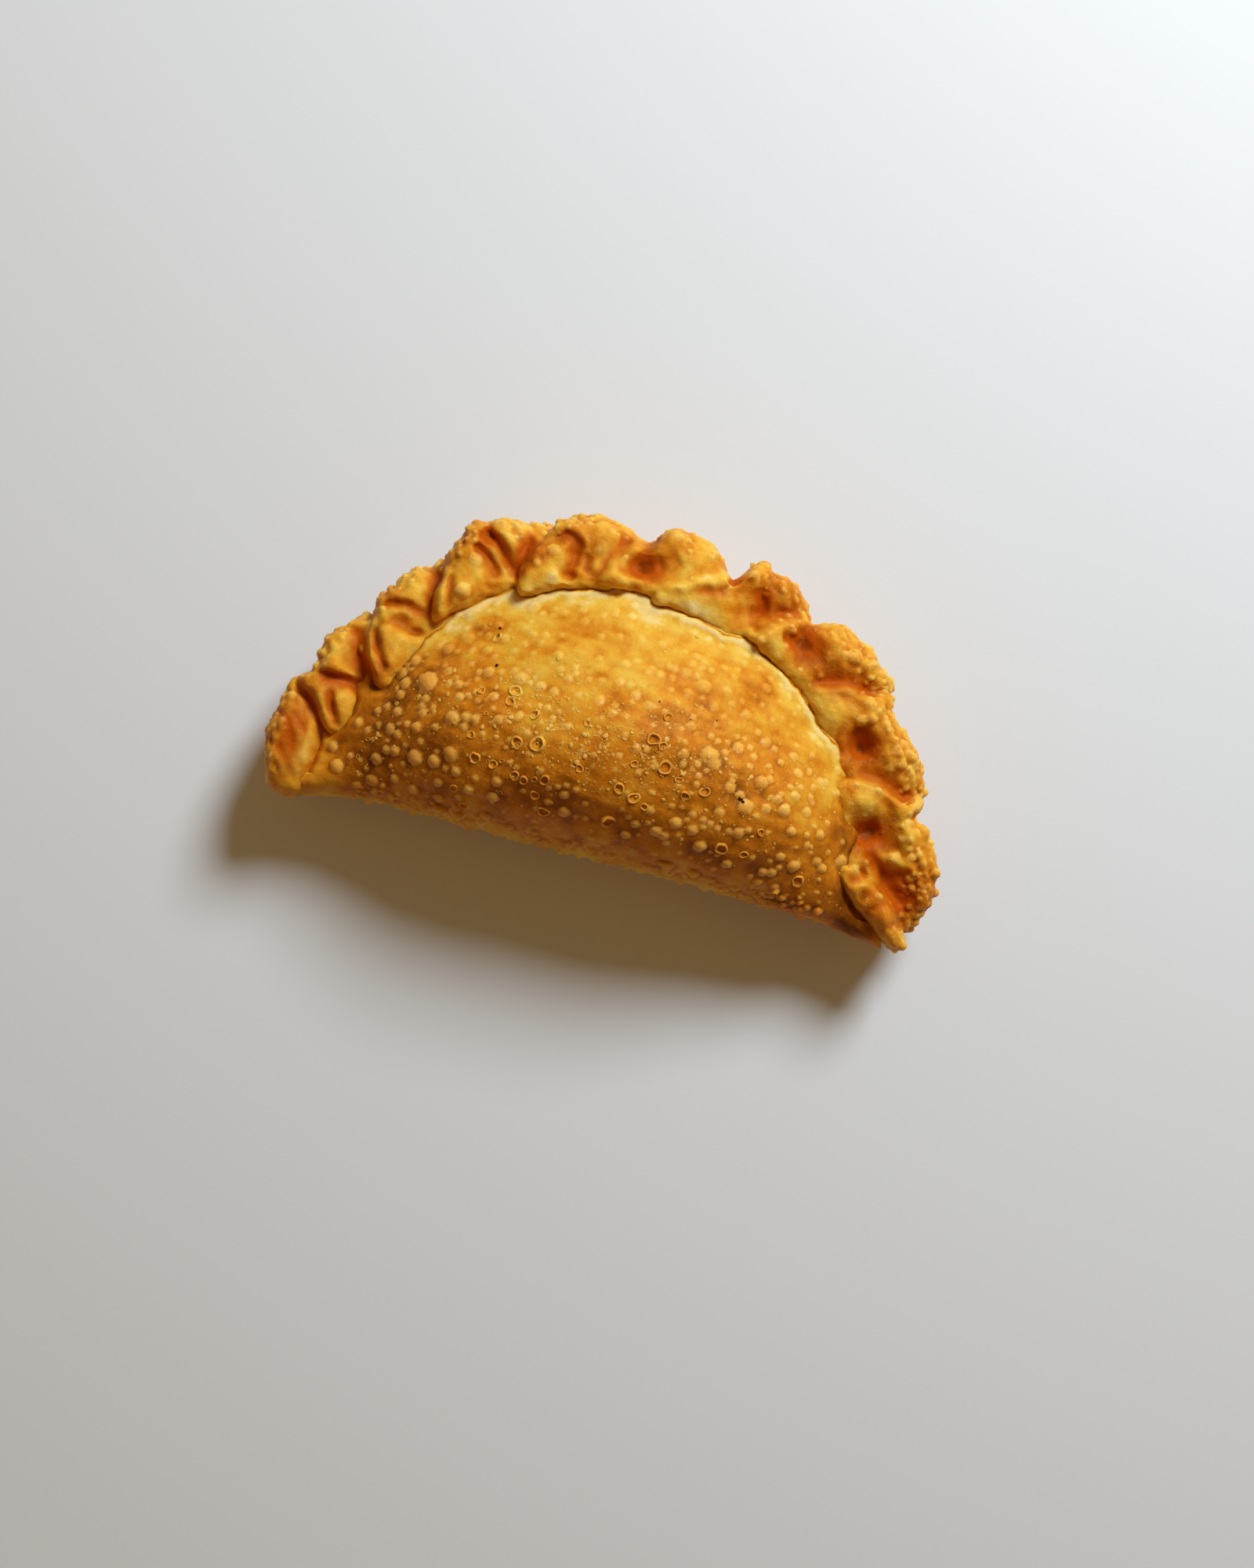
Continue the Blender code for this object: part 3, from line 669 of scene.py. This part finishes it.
for depth, width, *places in CREASES:
    near, away, fade = near_line(dough, places, 6 * width)
    steep, gentle = (away / (1.5 * width)) ** 2, (np.abs(away) / (3.0 * width)) ** 1.8
    valley = np.exp(-np.where(away > 0, steep, gentle))
    swelling = np.exp(-(((away - 2.6 * width) / (1.7 * width)) ** 2))
    relief[near] += depth * fade * (0.28 * swelling - 0.62 * valley)
    shade = np.exp(-((away / (1.3 + 2.0 * width)) ** 2)) * min(1.0, depth / 1.9)
    painted_crease_shade[near] = np.maximum(painted_crease_shade[near], fade * shade)
for height, width, *places in FOLDS:
    near, away, fade = near_line(dough, places, 3 * width)
    relief[near] += 0.9 * height * fade * np.exp(-((away / (1.5 * width)) ** 2))
    painted_crest_light[near] = np.maximum(painted_crest_light[near], height * fade * np.exp(-((away / (1.3 * width)) ** 2)))
for x, y, reach_x, reach_y, height in MOUNDS:
    spread = 1.3 if height < 0 else 1.1
    mound = np.exp(-(((dough[:, 0] - x) / reach_x) ** 2 + ((dough[:, 1] - y) / reach_y) ** 2) / spread**2)
    relief += (0.6 if height < 0 else 1.0) * height * mound
    painted_crease_shade = np.maximum(painted_crease_shade, mound * max(0.0, -height / 3.2))
facing_up = smooth_step(-0.2, 0.5, dough_normals[:, 2])
dough[:, 2] += relief * facing_up
move_points(rope, dough * MM)
eased(rope, 5)
dough, dough_normals = points_of(rope) / MM, normals_of(rope)
outer = smooth_step(0.5, 5.0, plan_to_rim(dough)[1])
bumps = (0.22 + 0.15 * outer) * lumps(dough, 5.5, 7) + (0.09 + 0.24 * outer) * lumps(dough, 2.6, 8)
bumps += (0.03 + 0.07 * outer) * lumps(dough, 1.4, 9)
dough += dough_normals * bumps[:, None]
move_points(rope, dough * MM)

# Blisters crowd on the rope's outer edge, and a few stand out on its faces as (x, y, radius).
ROPE_DOMES = (
    (-34.1, 17.7, 1.5), (-34.9, 11.1, 1.7), (-20.8, 22.8, 1.3), (-12.9, 24.9, 0.9), (0.4, 31.5, 1.7),
    (42.7, 7.1, 1.2), (50.6, 3.2, 1.1), (52.6, 1.0, 1.0), (54.8, 1.5, 0.9), (57.2, 1.5, 1.1),
    (57.6, -1.2, 0.9), (57.5, -4.4, 1.4), (-56.7, -9.0, 0.9), (-52.4, 1.7, 1.3), (-56.8, -1.7, 1.1),
    (-27.7, 26.2, 1.3), (-32.1, 25.2, 1.1), (55.8, -15.6, 0.9), (60.6, -20.6, 0.8), (63.4, -19.4, 0.7),
    (61.1, -15.8, 0.9), (47.6, 7.9, 1.1),
)
along, outward = plan_to_rim(dough)
dough_normals = normals_of(rope)
bare_start = 3.0 * smooth_step(-50.0, -56.0, dough[:, 0]) * smooth_step(-12.0, -15.0, dough[:, 1])
to_right = smooth_step(12.0, 30.0, dough[:, 0])
liking = smooth_step(0.5, 5.0, outward - bare_start) * smooth_step(8.0, 12.0, dough[:, 2])
liking = liking + (0.03 + 0.07 * to_right) * facing_up + NOWHERE
spots = np.append(on_top(dough, dough_normals, [place[:2] for place in ROPE_DOMES]),
                  scatter(dough, liking, 620, 0.75, chance))
radii = np.append([r for x, y, r in ROPE_DOMES],
                  0.38 + chance.exponential(0.25, len(spots) - len(ROPE_DOMES)).clip(0, 0.8))
swell = chance.uniform(0.4, 0.75, len(spots))
swell[:len(ROPE_DOMES)] *= 0.7
dough, dome = raise_domes(dough, dough_normals, dough[spots], radii, radii * swell)
move_points(rope, dough * MM)

# How much darker or paler the pleats are painted than most of the rope, as (x, y, spread, change): partly the
# dough's own tone, partly painted shade in hollows and painted light on faces and edges that face the lamp.
ROPE_PATCHES = (
    (11.5, 18.4, 2.0, -0.18), (6.5, 19.4, 2.0, -0.18), (1.5, 20.2, 1.8, -0.16), (22.5, 16.0, 2.4, -0.14),
    (33.6, 9.4, 1.8, -0.12), (-19.6, 18.4, 2.0, -0.20), (-34.9, 10.9, 2.0, -0.14),
    (-33.0, 16.6, 2.5, -0.27), (-44.4, -1.7, 2.2, -0.12), (-54.4, -4.1, 3.0, -0.12),
    (-43.9, 10.0, 2.8, -0.04), (-28.1, 22.8, 2.4, -0.31), (-12.6, 24.0, 2.2, -0.06),
    (6.5, 27.0, 3.6, -0.14), (-6.4, 20.6, 2.0, -0.12), (58.5, -11.0, 3.0, -0.08),
    (-51.0, -14.5, 2.2, -0.12), (9.0, 25.6, 1.6, -0.12), (37.0, 10.6, 2.0, -0.06), (47.5, -4.2, 2.2, -0.12),
    (-55.8, -24.0, 2.0, -0.22), (47.5, -8.0, 2.0, -0.16), (50.0, -20.0, 2.2, -0.16),
    (10.0, 19.5, 2.0, -0.18), (-3.0, 24.2, 2.0, 0.40), (29.2, 18.2, 2.4, 0.34), (35.0, 16.0, 4.5, 0.04),
    (45.5, 2.0, 4.2, 0.18), (50.2, -13.0, 3.0, 0.03), (49.4, -15.4, 2.2, 0.24), (57.0, -20.0, 3.0, 0.08),
    (62.5, -20.8, 2.8, 0.24), (-36.8, 22.6, 3.0, 0.20), (-33.0, 20.8, 1.6, 0.08), (-24.6, 20.8, 2.0, 0.16),
    (19.5, 24.5, 2.5, 0.12), (55.5, -27.0, 3.0, 0.12), (-57.0, -12.0, 2.4, 0.08), (10.0, 22.4, 2.6, 0.14),
    (23.5, 27.5, 2.6, 0.12), (-13.0, 27.5, 2.4, 0.10), (-45.0, -12.0, 3.0, 0.10), (-59.6, -22.0, 4.0, 0.03),
)
# Where the dough is a plain deep orange, as (x, y, spread, strength).
ORANGE = (
    (-60.2, -17.5, 3.0, 0.30), (-59.8, -23.0, 3.4, 0.34), (-59.2, -29.0, 3.4, 0.32),
    (-36.8, 22.8, 3.0, 0.16), (-55.6, -13.0, 2.6, 0.20), (-13.0, 28.0, 3.0, 0.10), (35.5, 15.5, 4.0, 0.16),
    (54.5, -4.0, 2.6, 0.14), (19.5, 25.0, 3.0, 0.10), (55.5, -27.0, 3.0, 0.12), (50.3, -7.0, 3.0, 0.10),
    (39.0, 8.5, 3.0, 0.08),
)
along, outward = plan_to_rim(dough)
lip = smooth_step(-5.5, -8.0, outward) * smooth_step(56.0, 66.0, along) * smooth_step(140.0, 128.0, along)
# The rope's colour is first how far it is fried. Painted shade darkens the creases, hollows and furrows, and
# painted light brightens the fold crests and ridges. The inner lip is paler dough.
fried_and_shaded = 0.46 + 0.12 * painted_crease_shade - 0.05 * painted_crest_light - 0.10 * lip
fried_and_shaded = fried_and_shaded + 0.06 * lumps(dough, 9.0, 22) + 0.05 * lumps(dough, 3.4, 23)
fried_and_shaded += (0.6 * furrows(rope, 20)).clip(-0.10, 0.12) - 0.08 * dome
# Painted shade in creases and furrows, red-orange as painted bounce light. The darker patches add to it, and
# so do the places of plain deep orange.
orange_and_shade_amount = painted_crease_shade * 0.42 + furrows(rope, 30) * 0.3
for x, y, spread, change in ROPE_PATCHES:
    changed = change * patch(dough, x, y, spread)
    fried_and_shaded += changed
    orange_and_shade_amount += 1.3 * np.maximum(changed, 0)
for x, y, spread, strength in ORANGE:
    orange_and_shade_amount += strength * patch(dough, x, y, spread)
paint(rope, "fried_and_shaded", fried_and_shaded)
paint(rope, "blister", dome * 0.6)
paint(rope, "fizz", 0.35 * smooth_step(12.0, 30.0, dough[:, 0]))
paint(rope, "hollow", orange_and_shade_amount.clip(0, 0.88) * facing_up * (1 - 0.7 * lip))
rope.data.materials.append(crust_finish)
belongs(rope)


def fizz_liking(points):
    """The finest blisters crowd in a band across the middle, where the oil was hottest."""
    x, y, z = points.T
    band = np.exp(-(((y + 9.0) / 7.5) ** 2)) * np.exp(-(((x + 3.0) / 24.0) ** 2))
    return (band + 0.10 * blister_liking(points)) * np.where(z > 4.0, 1.0, 0.0) + NOWHERE


# Under the rope's inner edge the pocket's skin was shut off from the oil: a pale band. A dark line right in
# the seam is painted shade, where the rope's edge overhangs the skin. Below the rope's deepest hollows the
# skin is dented too, so that it doesn't stand through them.
tree = KDTree(len(dough))
for index, point in enumerate(dough):
    tree.insert(point, index)
tree.balance()
for x, y, reach_x, reach_y, height in MOUNDS:
    if height < -2.0:
        dent = np.exp(-(((skin[:, 0] - x) / reach_x) ** 2 + ((skin[:, 1] - y) / reach_y) ** 2))
        skin[:, 2] += 1.4 * height * dent * (skin[:, 2] > 12.0)
move_points(pocket, skin * MM)
FAR = 99.0
facing = np.nonzero((skin[:, 2] > 8.0) & (skin[:, 1] > -29.0))[0]
from_rope = np.full(len(skin), FAR)
from_rope[facing] = [tree.find(skin[index])[2] for index in facing]
at_sides = smooth_step(38.0, 43.0, np.abs(skin[:, 0]))
pressed_up = 0.6 * (1 - at_sides) * smooth_step(2.4, 0.5, from_rope)
pressed_in = 0.7 * at_sides * smooth_step(1.8, 0.2, from_rope)
skin[:, 2] += (pressed_up - pressed_in) * smooth_step(8.0, 12.0, skin[:, 2])
move_points(pocket, skin * MM)
by_left_pleats = np.exp(-(((skin[:, 0] + 33.0) / 7.0) ** 2))
sheltered = smooth_step(5.0, 0.5, from_rope - 2.0 * by_left_pleats + lumps(skin, 6.0, 31))
sheltered *= smooth_step(-8.0, 4.0, skin[:, 1]) + 0.5 * by_left_pleats
seam_shade_strength = 0.8 * smooth_step(-6.0, 4.0, skin[:, 1])
seam_shade_strength *= 1 - 0.7 * np.exp(-(((skin[:, 0] + 33.0) / 6.0) ** 2))
painted_seam_shade = np.clip(seam_shade_strength + 0.6 * at_sides, 0, 0.8) * smooth_step(0.5, 0.1, from_rope)
# The crust here has several parts. Painted shade runs along the seam: darker crust in the middle, the
# orange-and-shade colour at the sides. The sheltered dough has its own pale band. Painted shade also falls
# beside the tail, where its shadow lies.
crust = browning_and_shading(skin) + painted_seam_shade * (1 - at_sides) - 0.27 * sheltered + 0.20 * beside_tail
paint(pocket, "hollow", painted_seam_shade * at_sides)
paint(pocket, "fizz", fizz_liking(skin) / 1.1)
# Furrows in the skin are painted darker as painted shade, and ridges a little paler as painted light.
paint(pocket, "fried_and_shaded", crust + (1.2 * furrows(pocket, 8)).clip(-0.1, 0.2))

# ------------------------------------------------------------------------------- The small blisters
# Hundreds of steam blisters smaller than a grain of rice, pale because they stand off the hot crust. Each is
# a low round bead with its foot sunk in the skin, made once and set out over the crust in many sizes.

bpy.ops.object.select_all(action="DESELECT")
bpy.ops.mesh.primitive_uv_sphere_add(segments=8, ring_count=6, radius=1.0)
bead = bpy.context.active_object
bead_points = points_of(bead)
bead_faces = [list(face.vertices) for face in bead.data.polygons]
bpy.data.objects.remove(bead)

FULL_TURN, BITES = 6.28, 14


def set_out(name, template, faces, places, normals, sizes, heights, generator, wobble, torn=0.0):
    """One piece made of many copies of a small shape, standing on a skin, each turned and sized by itself.

    They are out of round and tilted by their wobble, and where they are torn, bites are gone from their rims.
    """
    points, all_faces = [], []
    bites = np.linspace(-np.pi, np.pi, BITES)
    around = np.arctan2(template[:, 1], template[:, 0])
    for place, normal, size, height in zip(places, normals, sizes, heights):
        upright = Vector(normal).to_track_quat("Z", "Y").to_matrix()
        turned = np.array(upright @ Matrix.Rotation(generator.uniform(0, FULL_TURN), 3, "Z"))
        scale = size * generator.uniform(0.85, 1.15, 2)
        phase = generator.uniform(0, FULL_TURN, 3)
        outline = 1 + wobble * (np.sin(2 * around + phase[0]) + 0.5 * np.sin(3 * around + phase[1]))
        tilted = 1 + 4 * wobble * (np.sin(around + phase[2]) + 0.5 * np.sin(3 * around + phase[0]))
        if torn:
            ragged = generator.uniform(-torn, torn, (2, BITES))
            ragged[:, -1] = ragged[:, 0]
            outline += 0.16 * np.interp(around, bites, ragged[0])
            tilted = (tilted + np.interp(around, bites, ragged[1])).clip(0.15, 2.0)
            tilted[template[:, 2] < -0.2] = 1.0
        shape = template * np.stack([outline, outline, tilted], axis=1) * (*scale, height)
        all_faces.extend([[corner + len(points) * len(template) for corner in face] for face in faces])
        points.append(place + shape @ turned.T)
    mesh = bpy.data.meshes.new(name)
    mesh.from_pydata((np.concatenate(points) * MM).tolist(), [], all_faces)
    mesh.shade_smooth()
    made = bpy.data.objects.new(name, mesh)
    bpy.context.scene.collection.objects.link(made)
    return made


skin_normals = normals_of(pocket)
spots = scatter(skin, fizz_liking(skin) * (1 - 0.95 * pocket_dome), 480, 0.35, chance)
sizes = 0.16 + chance.exponential(0.12, len(spots)).clip(0, 0.42)
beads = set_out("small_blisters", bead_points, bead_faces, skin[spots], skin_normals[spots], sizes,
                sizes * chance.uniform(0.2, 0.42, len(spots)), chance, wobble=0.12)
bead_skin = points_of(beads) / MM
paint(beads, "fried_and_shaded", browning_and_shading(bead_skin))
paint(beads, "blister", np.tile(np.clip(bead_points[:, 2] * 1.5, 0, 1), len(spots)) * paleness(bead_skin))
beads.data.materials.append(thin_finish)
belongs(beads)

# ------------------------------------------------------------------------------- The burst blisters
# Where steam broke through, a blister has lost its cap: a thin ragged collar of pale dough stands round a
# browned pit in the skin, whose floor is painted darker still as shade. The collar is turned from its
# section, then set out torn and in many sizes.

COLLAR = ((0.36, -0.33), (0.56, -0.05), (0.67, 0.26), (0.76, 0.36), (0.86, 0.25), (0.97, 0.04), (1.03, -0.25))
COLLAR_SIDES = 18
floor_radius, floor_height = COLLAR[0]
bpy.ops.object.select_all(action="DESELECT")
bpy.ops.mesh.primitive_circle_add(vertices=COLLAR_SIDES, radius=floor_radius, fill_type="TRIFAN",
                                  location=(0, 0, floor_height))
collar = bpy.context.active_object
bpy.ops.object.transform_apply(location=True)
bpy.ops.object.mode_set(mode="EDIT")
bpy.ops.mesh.select_all(action="SELECT")
bpy.ops.mesh.region_to_loop()
for (inner, below), (outer, above) in zip(COLLAR, COLLAR[1:]):
    bpy.ops.mesh.extrude_edges_move(TRANSFORM_OT_translate={"value": (0, 0, above - below)})
    bpy.ops.transform.resize(value=(outer / inner, outer / inner, 1))
bpy.ops.mesh.fill()
bpy.ops.mesh.select_all(action="SELECT")
bpy.ops.mesh.normals_make_consistent(inside=False)
bpy.ops.object.mode_set(mode="OBJECT")
collar_points = points_of(collar)
collar_faces = [list(face.vertices) for face in collar.data.polygons]
bpy.data.objects.remove(collar)

# The burst ones as (x, y, radius); the rest are small and lie where the crust is fizziest.
BURSTS = (
    (-20.4, -4.7, 1.4), (-20.5, -6.8, 1.0), (-15.7, -7.8, 1.0), (-13.8, -13.0, 1.7), (-17.5, -13.4, 1.3),
    (-24.2, -18.3, 1.2), (-24.2, -27.1, 1.3), (-26.0, -14.3, 0.9), (-20.8, -18.4, 1.0), (-16.3, -19.5, 1.0),
    (-14.7, -19.8, 0.9), (-12.8, -19.3, 0.7), (-11.0, -18.7, 1.1), (-11.8, -21.8, 1.0), (-9.9, -24.5, 1.2),
    (-26.3, -5.9, 0.9), (-26.7, -24.7, 0.9), (-26.3, 4.1, 1.0), (6.2, -6.7, 1.3), (8.1, -7.3, 1.0),
    (7.6, -2.0, 0.9), (9.5, -10.9, 1.5), (17.5, -13.3, 1.1), (14.5, -14.9, 1.1), (2.4, -16.7, 1.1),
    (5.5, -17.8, 1.2), (7.6, -18.8, 0.8), (2.2, -23.1, 1.6), (23.5, -22.7, 1.4), (27.7, -22.5, 0.9),
    (29.7, -17.9, 0.8), (39.0, -24.8, 1.2), (12.4, -12.5, 0.8), (-5.2, -15.2, 0.8), (-6.0, -6.9, 0.8),
    (4.0, -11.7, 0.8),
)
spots = np.append(on_top(skin, skin_normals, [place[:2] for place in BURSTS]),
                  scatter(skin, fizz_liking(skin) * (1 - 0.95 * pocket_dome), 45, 1.6, chance))
sizes = np.append([r for x, y, r in BURSTS], chance.uniform(0.3, 0.55, len(spots) - len(BURSTS)))
places = skin[spots]
collars = set_out("burst_blisters", collar_points, collar_faces, places, skin_normals[spots], sizes,
                  sizes * 0.6, chance, wobble=0.10, torn=0.6)
for place, normal, size in zip(places[:len(BURSTS)], skin_normals[spots], sizes):
    pit = smooth_step(0.72 * size, 0.46 * size, np.linalg.norm(skin - place, axis=1))
    skin -= 0.36 * size * pit[:, None] * normal
move_points(pocket, skin * MM)
collar_skin = points_of(collars) / MM
inside = smooth_step(0.66, 0.40, np.hypot(collar_points[:, 0], collar_points[:, 1]))
# The collar's floor in the pit is painted darker, as browning and painted shade, and the bigger ones get the
# orange-and-shade colour there.
paint(collars, "fried_and_shaded", browning_and_shading(collar_skin) - 0.08 + 0.20 * np.tile(inside, len(places)))
lips = np.tile(smooth_step(0.15, 0.4, collar_points[:, 2]), len(places))
paint(collars, "blister", lips * paleness(collar_skin))
paint(collars, "hollow", (inside * (0.04 + 0.46 * smooth_step(1.0, 1.6, sizes))[:, None]).ravel())
collars.data.materials.append(thin_finish)
belongs(collars)

# --------------------------------------------------------------------------------------- The specks
# A few burnt crumbs and seeds of spice, nearly black, stuck in the skin. Each is a small uneven grain.

SPECKS = (
    (-26.4, 6.1, 0.3), (-25.1, -0.7, 0.32), (5.6, 0.2, 0.2), (16.5, -0.4, 0.18), (24.4, -13.0, 0.34),
    (24.8, -13.2, 0.3), (24.1, -12.8, 0.26), (-34.8, -12.4, 0.18), (11.7, -1.4, 0.16), (31.2, -17.6, 0.16),
)
spots = on_top(skin, skin_normals, [place[:2] for place in SPECKS])
sizes = np.array([r for x, y, r in SPECKS])
specks = set_out("specks", bead_points, bead_faces, skin[spots], skin_normals[spots], sizes, sizes * 0.6,
                 chance, wobble=0.15)
burnt = bpy.data.materials.new("burnt_specks")
burnt.use_nodes = True
grains = burnt.node_tree.nodes["Principled BSDF"].inputs
grains["Base Color"].default_value = (0.050, 0.007, 0.001, 1.0)
grains["Roughness"].default_value = 0.7
grains["Specular IOR Level"].default_value = 0.1
specks.data.materials.append(burnt)
belongs(specks)

# ------------------------------------------------------------------------------ The table and light
# The turnover lies on a plain pale table under one soft lamp, high behind its right-hand side.

bpy.ops.object.select_all(action="DESELECT")
bpy.ops.mesh.primitive_plane_add(size=3.0)
table = bpy.context.active_object
table.name = "table"
pale = bpy.data.materials.new("pale_table")
pale.use_nodes = True
tabletop = pale.node_tree.nodes["Principled BSDF"].inputs
tabletop["Base Color"].default_value = (0.80, 0.79, 0.77, 1.0)
tabletop["Roughness"].default_value = 0.6
table.data.materials.append(pale)

LIGHT_AZIMUTH, LIGHT_HEIGHT, LIGHT_DISTANCE = math.radians(69.7), math.radians(40.0), 0.9
lamp = bpy.data.lights.new("window", "AREA")
lamp.shape, lamp.size, lamp.energy = "DISK", 0.34, 9.8
lamp.color = (0.78, 0.89, 1.0)
window = bpy.data.objects.new("window", lamp)
bpy.context.scene.collection.objects.link(window)
towards = Vector((math.cos(LIGHT_AZIMUTH) * math.cos(LIGHT_HEIGHT),
                  math.sin(LIGHT_AZIMUTH) * math.cos(LIGHT_HEIGHT), math.sin(LIGHT_HEIGHT)))
window.location = towards * LIGHT_DISTANCE
window.rotation_euler = towards.to_track_quat("Z", "Y").to_euler()

room = bpy.data.worlds.new("room")
bpy.context.scene.world = room
room.use_nodes = True
room.node_tree.nodes["Background"].inputs["Color"].default_value = (1.0, 0.66, 0.30, 1.0)
room.node_tree.nodes["Background"].inputs["Strength"].default_value = 0.20

eye = bpy.data.cameras.new("camera")
eye.lens, eye.sensor_width = 59.1, 36.0
camera = bpy.data.objects.new("camera", eye)
bpy.context.scene.collection.objects.link(camera)
camera.location = (3.7 * MM, -15.6 * MM, 0.500)
camera.rotation_euler = (0.0, 0.0, math.radians(15.0))
bpy.context.scene.camera = camera
bpy.context.scene.view_settings.view_transform = "Standard"
